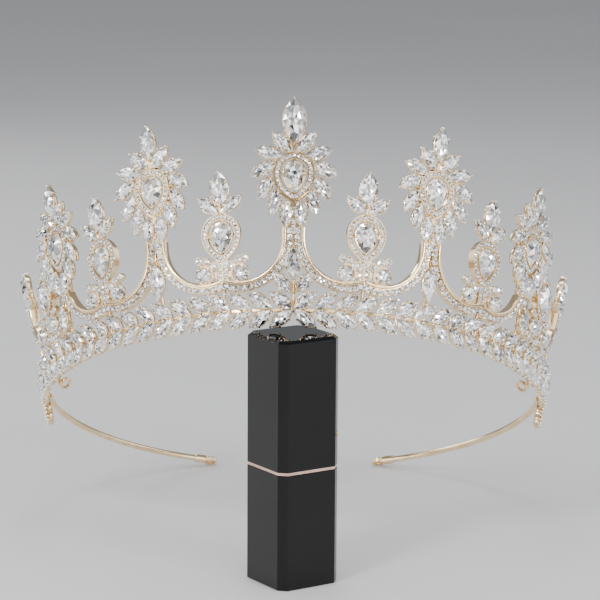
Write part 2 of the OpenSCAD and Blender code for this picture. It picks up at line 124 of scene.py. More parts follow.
# Swags. Half swags of one side: angle where the two legs meet, angle of the foot, height of the top
FINIAL_ANGLE = 82.0
SWAGS = [
    (0.0, 14.7, 23.0), (29.0, 14.7, 22.0), (29.0, 43.4, 22.0),
    (57.8, 43.4, 15.6), (57.8, 67.2, 15.6), (FINIAL_ANGLE, 67.2, 22.0),
]
SWAG_LOW, SWAG_WIDTH, SWAG_BACK = 5.8, 3.2, -1.1
SWAG_SPAN = 1.03               # a swag's span, by the distance between its ends along the ring
SWAG_RADIUS, SWAG_CENTRE = 0.69, 0.257      # by the span
SWAG_ROW, SWAG_STONE, SWAG_FLOOR = 0.6, 0.93, 0.95

# Foot of a small ornament, with small stones in two columns. Their radius is a share of their pitch
FOOT_HALF, FOOT_LOW, FOOT_TOP, FOOT_FRONT = 1.9, SWAG_LOW - 0.4, -6.3, 1.2
PAVE_ROWS, PAVE_X, PAVE_TOP, PAVE_FILL, PAVE_FLOOR = 5, 0.97, -7.0, 0.48, 1.15

# Finials at both ends of the row of ornaments
FINIAL, FINIAL_HEIGHT, FINIAL_LEAF_AT = (11.0, 5.6), 30.0, (3.45, -5.3)
FINIAL_BAR = (2.4, -10.0, -4.0, -0.9, 0.9)  # as the bars above, from the finial's height
FINIAL_POST = 23.0             # height of the post's top

# Set ring round a pear stone: growth of the pear's outline and height.
# Then the ring behind it, its row of stones, the bars behind it, and the collar of a large ornament
HALO_PROFILE = [
    (0.7, BACK), (0.7, 1.48), (0.76, 1.56), (0.90, 1.56), (0.96, 1.48), (0.96, 0.95),
    (2.22, 0.95), (2.22, 1.46), (2.28, 1.54), (2.44, 1.54), (2.5, 1.46), (2.5, BACK),
]
HALO_REAR = [(1.0, -1.0), (1.0, -0.55), (2.1, -0.55), (2.1, -1.0)]
HALO_ROW, HALO_STONE, HALO_FLOOR = 1.59, 0.6, 1.0
HALO_BARS = [(5.0, 0.7, 1.7, -1.0, -0.3), (0.5, -6.2, 6.4, -1.0, -0.3)]
COLLAR_PROFILE = [(1.1, -1.0), (1.1, 0.3), (3.0, 0.3), (3.0, -1.0)]

# Posts: width and depth, and how far out of the wall their middle lies
POST_SIZE, POST_OUT = (1.1, 1.4), -0.1

# Rings of points along the curved bars, sides of the turned forms, and fineness of the rings along a pear
SWAG_STEPS, LEG_STEPS, CURL_STEPS, RAIL_STEPS, WIRE_STEPS = 26, 5, 26, 140, 60
STUD_SIDES, SLEEVE_SIDES, TORUS_SIDES, GRIP_SIDES = 16, 20, 32, 6
HALO_FINE, COLLAR_FINE, ROW_FINE = 3, 2, 6
CURL_FROM, CURL_TO = 70, 290   # degrees round the stone

# Wire, its sleeves and eyelets, and the pin loops
TIP_ANGLE = 158.5
WIRE_RADIUS, WIRE_OUT, WIRE_SIDES = 1.0, -0.5, 14
WIRE_START, WIRE_STOP = 5, 4   # degrees inside the band's end, and short of the eyelet
SLEEVE_PROFILE = [(1.15, -2.0), (1.4, -1.8), (1.4, 1.8), (1.15, 2.0)]
SLEEVE_OUT, SLEEVE_SHORT = 0.45, 2.8
EYELET_RADIUS, EYELET_WALL, EYELET_HEIGHT = 2.3, 1.1, 1.6
LOOP_ANGLE, LOOP_IN, LOOP_HEIGHT, LOOP_AIM_ANGLE = 70.0, 3.9, -6.9, 4.0
LOOP_RADIUS, LOOP_WALL, LOOP_THICK = 2.0, 0.7, 0.9
LOOP_BAR = (0.6, -7.8, -3.1, -1.1, -0.35)

# Cut stones: crown and underside by the width, and the edge in millimetres.
# Then the rings' sizes by the outline, and their heights by the crown and the underside
CROWN, UNDERSIDE, EDGE = 0.27, 0.36, 0.12
BREAK_SIZE, TABLE_SIZE, INNER_SIZE, BELLY_SIZE = 0.79, 0.56, 0.30, 0.52
BREAK_RISE, BELLY_DROP = 0.55, 0.5
# Small stones: sides, height of the table and its size by the radius, and depth of the edge
SMALL_SIDES, SMALL_CROWN, SMALL_TABLE, SMALL_EDGE = 8, 0.26, 0.60, 0.6
# Small stones in a row: gap, girdle over the floor, and the beads' radius, rise over the floor and reach
ROW_GAP, ROW_GIRDLE, ROW_BEAD, ROW_BEAD_RISE, ROW_BEAD_REACH = 0.12, 0.55, 0.17, 0.5, 0.78
# Small stones set alone: girdle over the floor, and the beads' radius, rise over the floor and reach
SET_GIRDLE, SET_BEAD, SET_BEAD_RISE, SET_BEAD_REACH = 0.32, 0.2, 0.45, 0.98
# Claws: radius, rise over the girdle, height where they bend, how far they lean, and gap to the stone
CLAW, CLAW_RISE, CLAW_BEND, CLAW_LEAN, CLAW_GAP = 0.34, 0.62, 1.2, 0.22, 0.12

# Painted reflections in the stones' colour: bright, grey and dark facets, and faint painted fire
# Tones of the facets with their shares, and faint tints of painted fire with the share up to which each is
# drawn
PAINTED_REFLECTION_TONES, PAINTED_REFLECTION_SHARES = [1.0, 0.92, 0.70, 0.34, 0.06], [0.50, 0.19, 0.12, 0.10, 0.09]
PAINTED_FIRE_TINTS = [(0.05, (1.0, 0.86, 0.70)), (0.10, (0.80, 0.90, 1.0)), (0.12, (1.0, 0.82, 0.86))]
CUT_GLINT, SMALL_GLINT = 0.30, 0.28         # spread of the reflections inside the stones

# Block. The seam reaches a little into both halves
BLOCK = {"side": 21.0, "chamfer": 2.2, "height": 75.0, "seam": 35.4, "turn": 33.5}
HALF_GAP, SEAM_REACH, SEAM_GROW = 0.4, 0.42, -0.12

# Lights in metres and watts, all soft squares that face the crown: name, place, side, power
LIGHTS = [
    ("key", (-0.45, -0.75, 0.85), 0.16, 3.5),
    ("fill", (0.75, -0.75, 0.6), 0.16, 2),
    ("low", (-0.75, -0.9, 0.25), 0.12, 1.2),
    ("front", (0.25, -1.2, 0.55), 0.12, 1.5),
    ("top", (0.0, 0.25, 1.1), 0.4, 3),
    ("rim", (-0.5, 0.8, 0.5), 0.25, 2),
    ("panel_front_-1", (-0.85, -0.8, 0.45), 0.9, 7),
    ("panel_side_-1", (-1.1, 0.3, 0.5), 0.8, 3),
    ("panel_front_1", (0.85, -0.8, 0.45), 0.9, 6),
    ("panel_side_1", (1.1, 0.3, 0.5), 0.8, 3),
    ("panel_over", (0.0, -0.55, 1.0), 0.9, 4.5),
]
LIGHT_AIM = Vector((0, 0, 0.07))
WORLD_COLOUR, WORLD_STRENGTH = (0.88, 0.90, 0.93, 1), 0.40
FLOOR_REACH = 6.0              # metres from the middle to the floor's edge

# Camera: place in metres, sensor and lens in millimetres, and how it is turned, tilted down and rolled
CAMERA_AT = (0.00396, -0.84176, 0.23112)
SENSOR, LENS = 36.0, 162.0
CAMERA_TURN, CAMERA_TILT, CAMERA_ROLL = 0.143, 10.64, 0.34


# Places on the crown

head = next(m for m in frame["record"]["mounts"] if m["name"] == "head")
TILT = math.atan2(-head["axis"][1], -head["axis"][2])
TO_ROW = np.array([
    [1, 0, 0],
    [0, math.cos(TILT), math.sin(TILT)],
    [0, -math.sin(TILT), math.cos(TILT)],
])
RING_CENTRE = np.array(head["pos_m"]) * 1000


def wall(angle):
    """Axes along the ring, up the wall and out of it, as rows, and the wall's origin, on the crown."""
    a = math.radians(angle)
    out = np.array([math.sin(a), -math.cos(a), 0.0])
    along = np.array([math.cos(a), math.sin(a), 0.0])
    rise = np.array([0.0, 0.0, 1.0])
    up = math.sin(FLARE) * out + math.cos(FLARE) * rise
    face = math.cos(FLARE) * out - math.sin(FLARE) * rise
    return np.array([along, up, face]), RING * out


def turned(points, turn):
    """Points of a wall turned in its plane, about the origin."""
    t = math.radians(turn)
    spin = np.array([[math.cos(t), math.sin(t), 0], [-math.sin(t), math.cos(t), 0], [0, 0, 1]])
    return points @ spin


def solid(points, faces):
    """The same shell with its faces turned outwards."""
    points = np.asarray(points, float)
    volume = 0.0
    for face in faces:
        fan = points[list(face)]
        volume += sum(np.dot(fan[0], np.cross(fan[k], fan[k + 1])) for k in range(1, len(fan) - 1))
    if volume < 0:
        faces = [face[::-1] for face in faces]
    return points, faces


class Shells:
    """Closed shells in the crown's own frame, gathered for one object. Faces may have glints, and a tone
    each that is a painted reflection.
    """

    def __init__(self):
        self.points, self.faces, self.tones, self.glints, self.count = [], [], [], [], 0

    def add(self, shape, angle=None, x=0.0, y=0.0, turn=0.0, z=0.0, tones=None, glints=None):
        """Adds a shape, and with an angle moves it from a flat wall to its place on the crown."""
        points, faces = shape
        if angle is not None:
            axes, origin = wall(angle)
            points = (turned(points, turn) + (x, y, z)) @ axes + origin
        self.points.append(points)
        self.faces += [tuple(k + self.count for k in face) for face in faces]
        self.count += len(points)
        if tones is not None:
            self.tones.append(tones)
            self.glints.append(glints)

    def build(self, name, material, slot, smooth=None, replaces=()):
        """One object of all the shells. Smooth is the angle in degrees up to which an edge is rounded."""
        mesh = bpy.data.meshes.new(name)
        rows = (np.concatenate(self.points) @ TO_ROW.T + RING_CENTRE) / 1000
        mesh.from_pydata(rows.tolist(), [], self.faces)
        if smooth is not None:
            mesh.shade_smooth()
            mesh.set_sharp_from_angle(angle=math.radians(smooth))
        if self.tones:
            add_facets(mesh, np.concatenate(self.tones), np.concatenate(self.glints))
        mesh.materials.append(material)
        piece = bpy.data.objects.new(name, mesh)
        bpy.context.scene.collection.objects.link(piece)
        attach(piece, "root")
        if replaces:
            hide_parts(*replaces)


def add_facets(mesh, tones, glints):
    """Keeps each facet's tone, a painted reflection, and the direction in which its inner reflections lie.
    """
    normals = np.empty(len(mesh.polygons) * 3, np.float32)
    mesh.polygons.foreach_get("normal", normals)
    lean = normals.reshape(-1, 3) + glints
    lean /= np.linalg.norm(lean, axis=1, keepdims=True)
    tone = mesh.attributes.new("tone", "FLOAT_COLOR", "FACE")
    tone.data.foreach_set("color", np.column_stack([tones, np.ones(len(tones))]).ravel())
    facet = mesh.attributes.new("facet", "FLOAT_VECTOR", "FACE")
    facet.data.foreach_set("vector", lean.ravel())


# Outlines, counter-clockwise, as arrays of x and y

def leaf_outline(size, grow=0.0, fine=1):
    """Pointed oval from its right tip, eight points to a side."""
    length, width = size
    radius = (length**2 + width**2) / 4 / width
    big, drop = radius + grow, radius - width / 2
    half = math.acos(drop / big)
    a = half * (1 - np.arange(8 * fine) / (4 * fine))
    upper = np.column_stack([big * np.sin(a), big * np.cos(a) - drop])
    return np.concatenate([upper, -upper])


def pear_outline(size, grow=0.0, fine=1):
    """Drop with its point down, from the point. It grows a little more in length than in width."""
    width, length = size[0] + 2 * grow, size[1] + 2.1 * grow
    a = width / 2
    d, c = length - a, length / 2 - a
    r = (a * a + d * d) / (2 * a)
    most = math.asin(d / r)
    rise = most * (1 - np.arange(4 * fine) / (4 * fine))
    over = np.linspace(0, math.pi, 8 * fine + 1)
    fall = most * np.arange(1, 4 * fine) / (4 * fine)
    return np.concatenate([
        np.column_stack([r * np.cos(rise) - r + a, c - r * np.sin(rise)]),
        np.column_stack([a * np.cos(over), c + a * np.sin(over)]),
        np.column_stack([-r * np.cos(fall) + r - a, c - r * np.sin(fall)]),
    ])


def round_outline(size, grow=0.0, fine=1):
    """Circle from its right side, sixteen points round."""
    a = np.arange(16 * fine) * math.tau / (16 * fine)
    return (size[0] / 2 + grow) * np.column_stack([np.cos(a), np.sin(a)])


OUTLINES = {"leaf": leaf_outline, "pear": pear_outline, "round": round_outline}


# Skins

def level(outline, z):
    """An outline as points at one height."""
    return np.column_stack([outline, np.full(len(outline), z)])


def loft(rings, loop=False):
    """A skin over rings of equal length. A face closes each end, or the last ring joins the first."""
    m, n = len(rings), len(rings[0])
    faces = []
    for i in range(m if loop else m - 1):
        j = (i + 1) % m
        faces += [(i * n + k, i * n + (k + 1) % n, j * n + (k + 1) % n, j * n + k) for k in range(n)]
    if not loop:
        faces += [tuple(range(n)), tuple(m * n - 1 - k for k in range(n))]
    return solid(np.concatenate(rings), faces)


def plate(outline, low, high, edge=0.08):
    """A flat plate with its top edge eased."""
    middle = outline.mean(axis=0)
    inner = middle + (outline - middle) * (1 - edge / np.abs(outline - middle).max())
    return loft([level(outline, low), level(outline, high - edge), level(inner, high)])


def bar(size, height=0.0):
    """A flat upright bar: half its width, its foot and top over a height, its rear and front."""
    half, foot, top, rear, front = size
    low, high = height + foot, height + top
    outline = np.array([(-half, low), (half, low), (half, high), (-half, high)])
    return plate(outline, rear, front)


def lathe(profile, sides):
    """A turned shape about Z, from pairs of radius and height."""
    a = np.arange(sides) * math.tau / sides
    rim = np.column_stack([np.cos(a), np.sin(a)])
    return loft([level(rim * r, z) for r, z in profile])


def pear_ring(profile, fine):
    """A closed ring along a pear stone, from pairs of growth of the pear's outline and height."""
    return loft([level(pear_outline(PEAR, grow, fine), z) for grow, z in profile], loop=True)


def ring_sweep(profile, start, end, steps):
    """A bar bent round the ring's axis, from pairs of distance out of the ring and height over its plane."""
    rings = []
    for angle in np.radians(np.linspace(start, end, steps)):
        rings.append([((RING + r) * math.sin(angle), -(RING + r) * math.cos(angle), w) for r, w in profile])
    return loft([np.array(ring) for ring in rings])


# Places of the stones

Stone = namedtuple("Stone", "kind size angle x y turn girdle", defaults=(GIRDLE,))


def band_leaves(row, side):
    """One row and side of the laurel band. The lower row has the leaf at the end."""
    scales = [1 - TAPER_STEP * max(0, i - LEAF_COUNT + TAPER_COUNT + 1) for i in range(LEAF_COUNT)]
    rise = LEAF_GAP + LEAF[0] / 2 * math.sin(math.radians(LEAF_TURN))
    foot, made = LEAF_GAP, []
    for f in scales:
        middle = foot + f * LEAF[0] / 2 * math.cos(math.radians(LEAF_TURN))
        made.append(Stone("leaf", (f * LEAF[0], f * LEAF[1]), side * middle * DEGREES_PER_MM, 0,
                          STEM + row * f * rise, side * row * LEAF_TURN))
        foot += LEAF_PITCH * f
    if row < 0:
        end_angle = (foot + END_LEAF[0] / 2 + END_GAP) * DEGREES_PER_MM
        made.append(Stone("leaf", END_LEAF, side * end_angle, 0, STEM, 0))
    return made


def tail_leaves(side):
    """The band's pattern once more, small and hanging, at one of its ends."""
    size, reach = (TAIL_SCALE * LEAF[0], TAIL_SCALE * LEAF[1]), TAIL_SCALE * LEAF[0] / 2
    across = TAIL_GAP + reach * math.sin(math.radians(LEAF_TURN))
    drop = reach * math.cos(math.radians(LEAF_TURN))
    return [
        Stone("leaf", size, side * TAIL_ANGLE, way * across,
              TAIL_TOP - drop - k * TAIL_SCALE * LEAF_PITCH, -90 + way * LEAF_TURN)
        for k in range(TAIL_ROWS) for way in (-1, 1)
    ]


def petal_leaves(ornament):
    """The petals round the pear stone of a large ornament."""
    made = []
    for way in (-1, 1):
        for x, y, turn in PETALS:
            turn = turn if way > 0 else 180 - turn
            reach = PETAL[0] / 2 + LEAF_GAP
            made.append(Stone("leaf", PETAL, ornament.angle, way * x + reach * math.cos(math.radians(turn)),
                              ornament.height + y + reach * math.sin(math.radians(turn)), turn))
    return made


def pear(ornament):
    """The pear stone in the middle of an ornament."""
    return Stone("pear", PEAR, ornament.angle, 0, ornament.height, 0, PEAR_GIRDLE)


def upright(angle, y, size, lift=0.0):
    """A leaf stone that stands on its tip."""
    return Stone("leaf", size, angle, 0, y, 90, GIRDLE + lift)


def leaf_pair(angle, height, at, turn, size):
    """Two leaf stones that spread to the left and right."""
    return [
        Stone("leaf", size, angle, way * at[0], height + at[1], turn if way > 0 else 180 - turn)
        for way in (-1, 1)
    ]


def round_pair(small):
    """The two round stones beside the foot of a small ornament."""
    y = small.height + ROUND_AT[1]
    return [Stone("round", ROUND, small.angle, way * ROUND_AT[0], y, 0) for way in (-1, 1)]


def trefoil(small):
    """The three leaves over a small ornament."""
    return [upright(small.angle, small.height + TREFOIL_Y, TREFOIL)] + leaf_pair(
        small.angle, small.height, TREFOIL_LEAF_AT, TREFOIL_LEAF_TURN, TREFOIL_LEAF)


def finial(angle):
    """The three leaves at an end of the row of ornaments."""
    return [upright(angle, FINIAL_HEIGHT, FINIAL)] + leaf_pair(
        angle, FINIAL_HEIGHT, FINIAL_LEAF_AT, TREFOIL_LEAF_TURN, TREFOIL_LEAF)


def all_stones():
    """The stones of every node."""
    made = {}
    for side, way in [("left", -1), ("right", 1)]:
        made[f"band_upper_stones_{side}"] = band_leaves(1, way)
        made[f"band_lower_stones_{side}"] = band_leaves(-1, way)
        made[f"finial_stones_{side}"] = finial(way * FINIAL_ANGLE)
        made[f"trefoil_stones_{side}"] = []
        made[f"round_stones_{side}"] = []
    for large in LARGE:
        made[f"petal_stones_{large.name}"] = petal_leaves(large)
        made[f"pear_{large.name}"] = [pear(large)]
        top_y = large.height + TOP_FOOT + large.top[0] / 2
        made[f"top_stone_{large.name}"] = [upright(large.angle, top_y, large.top)]
        insert = "insert_stones_middle" if large.angle == 0 else f"insert_stone_{large.name}"
        made[insert] = [upright(large.angle, large.insert_y, large.insert, INSERT_LIFT)]
    made["insert_stones_middle"] += leaf_pair(0, 0, INSERT_LEAF_AT, INSERT_LEAF_TURN, INSERT_LEAF)
    for small in SMALL:
        side = small.name.split("_")[-1]
        made[f"pear_{small.name}"] = [pear(small)]
        made[f"round_stones_{side}"] += round_pair(small)
        if small.trefoil:
            made[f"trefoil_stones_{side}"] += trefoil(small)
    return made


# Stones

# Where the rings of a cut stone's points start: girdle, break, table, inner table, middle, belly and culet
GIRDLE_LOW, GIRDLE_TOP, BREAK, TABLE, INNER, CENTRE, BELLY, CULET = 0, 16, 32, 40, 48, 56, 57, 65


def cut_stone(stone):
    """A brilliant cut over an outline of sixteen points. Its table is split along the reflections in it."""
    rim = OUTLINES[stone.kind](stone.size)
    even, odd = rim[0::2], rim[1::2]
    width = min(stone.size)
    crown, depth, low = CROWN * width, UNDERSIDE * width, stone.girdle - EDGE
    top = stone.girdle + crown
    points = np.concatenate([
        level(rim, low), level(rim, stone.girdle),
        level(odd * BREAK_SIZE, stone.girdle + BREAK_RISE * crown),
        level(even * TABLE_SIZE, top), level(odd * INNER_SIZE, top), [(0, 0, top)],
        level(even * BELLY_SIZE, low - BELLY_DROP * depth), [(0, 0, low - depth)],
    ])
    faces = []
    for k in range(16):
        after = (k + 1) % 16
        faces.append((GIRDLE_LOW + k, GIRDLE_LOW + after, GIRDLE_TOP + after, GIRDLE_TOP + k))
    for j in range(8):
        before, after = (j - 1) % 8, (j + 1) % 8
        here, half, beyond = 2 * j, 2 * j + 1, (2 * j + 2) % 16
        faces += [
            (GIRDLE_TOP + here, GIRDLE_TOP + half, BREAK + j),
            (GIRDLE_TOP + half, GIRDLE_TOP + beyond, BREAK + j),
            (GIRDLE_TOP + here, BREAK + j, TABLE + j),
            (GIRDLE_TOP + here, TABLE + j, BREAK + before),
            (TABLE + j, BREAK + j, TABLE + after),
            (TABLE + j, TABLE + after, INNER + j),
            (TABLE + after, INNER + after, INNER + j),
            (INNER + j, INNER + after, CENTRE),
            (half, here, BELLY + j),
            (beyond, half, BELLY + after),
            (half, BELLY + j, BELLY + after),
            (BELLY + j, CULET, BELLY + after),
        ]
    return points, faces


def small_stone(radius, girdle):
    """A small round stone with a table."""
    n = SMALL_SIDES
    a = (np.arange(n) + 0.5) * math.tau / n
    rim = radius * np.column_stack([np.cos(a), np.sin(a)])
    top = girdle + SMALL_CROWN * radius
    points = np.concatenate([
        level(rim, girdle - SMALL_EDGE), level(rim, girdle), level(rim * SMALL_TABLE, top), [(0, 0, top)],
    ])
    faces = [tuple(range(n))[::-1]]
    for k in range(n):
        after = (k + 1) % n
        faces += [
            (k, after, n + after, n + k),
            (n + k, n + after, 2 * n + after, 2 * n + k),
            (2 * n + k, 2 * n + after, 3 * n),
        ]
    return points, faces


def painted_reflections_and_glints(faces, spread):
    """Painted reflections and glints for the faces of stones, a tone each: mostly bright, some grey, a few
    dark or faintly coloured as painted fire.
    """
    n = len(faces)
    grey = rng.choice(PAINTED_REFLECTION_TONES, size=n, p=PAINTED_REFLECTION_SHARES)
    painted_fire_tint = np.ones((n, 3))
    pick, start = rng.random(n), 0.0
    for end, colour in PAINTED_FIRE_TINTS:
        painted_fire_tint[(pick >= start) & (pick < end)] = colour
        start = end
    return grey[:, None] * painted_fire_tint, rng.normal(0, spread, (n, 3))


# Settings

def cup(stone):
    """An open tube round a stone's underside, with a lip at the girdle."""
    half = min(stone.size) / 2
    # Growth of the outline, and height
    profile = [
        (-0.28 * half, BACK), (0.02 * half, 0.5), (0.16, 1.0), (0.2, 1.5), (0.08, 1.62),
        (-0.12, 1.6), (-0.16, 1.1), (-0.52 * half, BACK),
    ]
    outline = OUTLINES[stone.kind]
    return loft([level(outline(stone.size, grow), z) for grow, z in profile], loop=True)


def claw(top):
    """A claw beside a stone, leaning over it, with the stone on its -X side."""
    profile = [(0.8 * CLAW, 0.3), (CLAW, CLAW_BEND), (1.1 * CLAW, top - 0.5),
               (0.95 * CLAW, top - 0.18), (0.5 * CLAW, top)]
    points, faces = lathe(profile, GRIP_SIDES)
    points[:, 0] -= np.clip((points[:, 2] - CLAW_BEND) / (top - CLAW_BEND), 0, 1) * CLAW_LEAN
    return points, faces


# Points of an outline of sixteen that carry a claw
CLAWS = {"leaf": [0, 2.5, 5.5, 8, 10.5, 13.5], "pear": [0, 3.4, 6, 10, 12.6], "round": [2, 6, 10, 14]}


def add_claws(shells, stone):
    """The claws of a stone, square to its outline, or along a leaf at its two tips."""
    outline = OUTLINES[stone.kind](stone.size, CLAW_GAP, fine=2)
    points, faces = claw(stone.girdle + CLAW_RISE)
    for spot in CLAWS[stone.kind]:
        k = int(round(2 * spot))
        x, y = outline[k]
        ahead = outline[(k + 1) % len(outline)] - outline[k - 1]
        lean = math.degrees(math.atan2(-ahead[0], ahead[1]))
        if stone.kind == "leaf" and spot in (0, 8):
            lean = 0 if spot == 0 else 180
        placed = turned(points, lean) + (x, y, 0)
        shells.add((turned(placed, stone.turn), faces), stone.angle, stone.x, stone.y)


def set_stones(stones, metal, claws):
    """Cut stones gathered for one object. Their cups go to the metal and their claws to the claws."""
    cut = Shells()
    for stone in stones:
        shape = cut_stone(stone)
        tones, glints = painted_reflections_and_glints(shape[1], CUT_GLINT)
        cut.add(shape, stone.angle, stone.x, stone.y, stone.turn, tones=tones, glints=glints)
        metal.add(cup(stone), stone.angle, stone.x, stone.y, stone.turn, max(0.0, stone.girdle - GIRDLE))
        add_claws(claws, stone)
    return cut


# Small stones, with the beads that hold them

def spaced(path, spacing, closed=False):
    """Points at equal distances along a path, and the direction of the path there."""
    whole = np.concatenate([path, path[:1]]) if closed else path
    steps = np.linalg.norm(np.diff(whole, axis=0), axis=1)
    along = np.concatenate([[0], np.cumsum(steps)])
    count = int(round(along[-1] / spacing))
    at = (np.arange(count) + 0.5) * along[-1] / count
    points = np.column_stack([np.interp(at, along, whole[:, k]) for k in (0, 1)])
    ahead = np.column_stack([np.interp(at + 0.05, along, whole[:, k]) for k in (0, 1)]) - points
    return points, ahead / np.linalg.norm(ahead, axis=1, keepdims=True), along[-1] / count


def bead(radius, z):
    """A round-topped bead whose dome starts at a height."""
    dome = [(0.72 * radius, z + 0.7 * radius), (0.2 * radius, z + radius)]
    return lathe([(radius, z - 0.3), (radius, z), *dome], GRIP_SIDES)


def add_row(stones, beads, path, angle, radius, z, closed=False, y=0.0):
    """A row of small stones on a path in a wall, with two beads between each stone and the next."""
    points, ahead, pitch = spaced(path, 2 * radius + ROW_GAP, closed)
    gem = small_stone(radius, z + ROW_GIRDLE)
    grip = bead(ROW_BEAD, z + ROW_BEAD_RISE)
    for (px, py), (dx, dy) in zip(points, ahead):
        tones, glints = painted_reflections_and_glints(gem[1], SMALL_GLINT)
        stones.add(gem, angle, px, py + y, tones=tones, glints=glints)
        for way in (-1, 1):
            gx = px + dx * pitch / 2 - way * dy * ROW_BEAD_REACH * radius
            gy = py + dy * pitch / 2 + way * dx * ROW_BEAD_REACH * radius
            beads.add(grip, angle, gx, gy + y)


def add_set_stone(stones, beads, angle, x, y, radius, z):
    """One small round stone held by four beads."""
    gem = small_stone(radius, z + SET_GIRDLE)
    tones, glints = painted_reflections_and_glints(gem[1], SMALL_GLINT)
    stones.add(gem, angle, x, y, tones=tones, glints=glints)
    for k in range(4):
        a = math.radians(45 + 90 * k)
        grip_x = x + SET_BEAD_REACH * radius * math.cos(a)
        grip_y = y + SET_BEAD_REACH * radius * math.sin(a)
        beads.add(bead(SET_BEAD, z + SET_BEAD_RISE), angle, grip_x, grip_y)


# Swags and ornaments

def swag_path(start, end, top):
    """Middle line of half a swag, in the wall halfway between its ends, and the side its hollow faces."""
    span = abs(end - start) / DEGREES_PER_MM * SWAG_SPAN
    r, cx = SWAG_RADIUS * span, SWAG_CENTRE * span
    cy = SWAG_LOW + r
    first = -math.acos((span / 2 - cx) / r)
    last = -math.pi if top > cy else -math.pi + math.asin((cy - top) / r)
    a = np.linspace(first, last, SWAG_STEPS)
    path = np.column_stack([cx + r * np.cos(a), cy + r * np.sin(a)])
    hollow = -np.column_stack([np.cos(a), np.sin(a)])
    if top > cy:
        leg = np.array([(cx - r, y) for y in np.linspace(cy, top, LEG_STEPS)[1:]])
        path = np.concatenate([path, leg])
        hollow = np.concatenate([hollow, [(1.0, 0.0)] * len(leg)])
    if end < start:
        path, hollow = path * (-1, 1), hollow * (-1, 1)
    return path, hollow


def strip(path, hollow):
    """A channel along a path, with a broad polished rim on its hollow side and none on the other."""
    half = SWAG_WIDTH / 2
    # Distance from the path towards the hollow side, and height
    profile = [
        (half, SWAG_BACK), (half, 1.35), (half - 0.12, 1.6), (half - 0.4, 1.72), (half - 0.85, 1.72),
        (half - 1.05, 1.6), (half - 1.1, 0.9), (-half + 0.1, 0.9), (-half, 0.8), (-half, SWAG_BACK),
    ]
    rings = [np.array([(*(p + h * n), z) for n, z in profile]) for p, h in zip(path, hollow)]
    return loft(rings)


def build_swags(metal, stones, beads):
    """Every half swag with its row of small stones."""
    for way in (-1, 1):
        for start, end, top in SWAGS:
            middle = way * (start + end) / 2
            path, hollow = swag_path(way * start, way * end, top)
            metal.add(strip(path, hollow), middle)
            add_row(stones, beads, path - hollow * SWAG_ROW, middle, SWAG_STONE, SWAG_FLOOR)


def curl(way):
    """Polished rim that curls up round the inner side of a round stone."""
    # Distance from the stone's middle, and height
    profile = [(2.62, 0.6), (2.62, 1.5), (2.74, 1.66), (3.0, 1.66), (3.12, 1.5), (3.12, 0.6)]
    rings = []
    for a in np.radians(np.linspace(CURL_FROM, CURL_TO, CURL_STEPS)):
        rings.append(np.array([(way * r * math.cos(a), r * math.sin(a), z) for r, z in profile]))
    return loft(rings)


def build_small_ornament(metal, stones, beads, small):
    """Studs, curls, the foot with its two columns of stones, and the bars behind the other stones."""
    for way in (-1, 1):
        for stud_x, stud_y in STUDS:
            x, y = way * stud_x, small.height + stud_y
            metal.add(lathe(STUD_PROFILE, STUD_SIDES), small.angle, x, y)
            add_set_stone(stones, beads, small.angle, x, y, STUD_STONE, STUD_FLOOR)
        metal.add(curl(way), small.angle, way * ROUND_AT[0], small.height + ROUND_AT[1])
    metal.add(bar((FOOT_HALF, FOOT_LOW, small.height + FOOT_TOP, BACK, FOOT_FRONT)), small.angle)
    pitch = (small.height + PAVE_TOP - FOOT_LOW) / PAVE_ROWS
    for x in (-PAVE_X, PAVE_X):
        for k in range(PAVE_ROWS):
            y = FOOT_LOW + pitch * (k + 0.5)
            add_set_stone(stones, beads, small.angle, x, y, PAVE_FILL * pitch, PAVE_FLOOR)
    for size in CROSSBARS:
        metal.add(bar(size, small.height), small.angle)
    if small.trefoil:
        metal.add(bar(TREFOIL_BAR, small.height), small.angle)


def build_halo(metal, stones, beads, angle, height):
    """The set ring round a pear stone, and the two bars behind it that carry the stone's cup."""
    metal.add(pear_ring(HALO_PROFILE, HALO_FINE), angle, 0, height)
    metal.add(pear_ring(HALO_REAR, HALO_FINE), angle, 0, height)
    path = pear_outline(PEAR, HALO_ROW, ROW_FINE)
    add_row(stones, beads, path, angle, HALO_STONE, HALO_FLOOR, closed=True, y=height)
    for size in HALO_BARS:
        metal.add(bar(size, height), angle)


def build_large_ornament(metal, stones, beads, large):
    """The collar that carries the petals, the bar of the top stone, and the neck with its three stones."""
    metal.add(pear_ring(COLLAR_PROFILE, COLLAR_FINE), large.angle, 0, large.height)
    for size in (TOP_BAR, NECK, NECK_STRIP):
        metal.add(bar(size, large.height), large.angle)
    neck_high = large.height + NECK_STRIP[2]
    for k in range(NECK_STONES):
        y = neck_high - NECK_MARGIN - NECK_PITCH * k
        add_set_stone(stones, beads, large.angle, 0, y, NECK_STONE, NECK_FLOOR)


# Frame, wire and ends

def post(top):
    """A slender rounded upright from the stem of the band."""
    section = round_outline((1.0, 1.0)) * POST_SIZE + (0, POST_OUT)
    heights = [np.full(len(section), y) for y in (STEM, top)]
    return loft([np.column_stack([section[:, 0], height, section[:, 1]]) for height in heights])


def build_rail():
    """The stem of the laurel band."""
    rear, front, e = RAIL_REAR, RAIL_REAR + RAIL[0], RAIL_EASE
    tall = RAIL_SHOWN * RAIL[1]
    low, high = STEM - tall / 2, STEM + tall / 2
    profile = [(rear, low + e), (rear + e, low), (front - e, low), (front, low + e),
               (front, high - e), (front - e, high), (rear + e, high), (rear, high - e)]
    return ring_sweep(profile, -BAND_HALF_ANGLE, BAND_HALF_ANGLE, RAIL_STEPS)


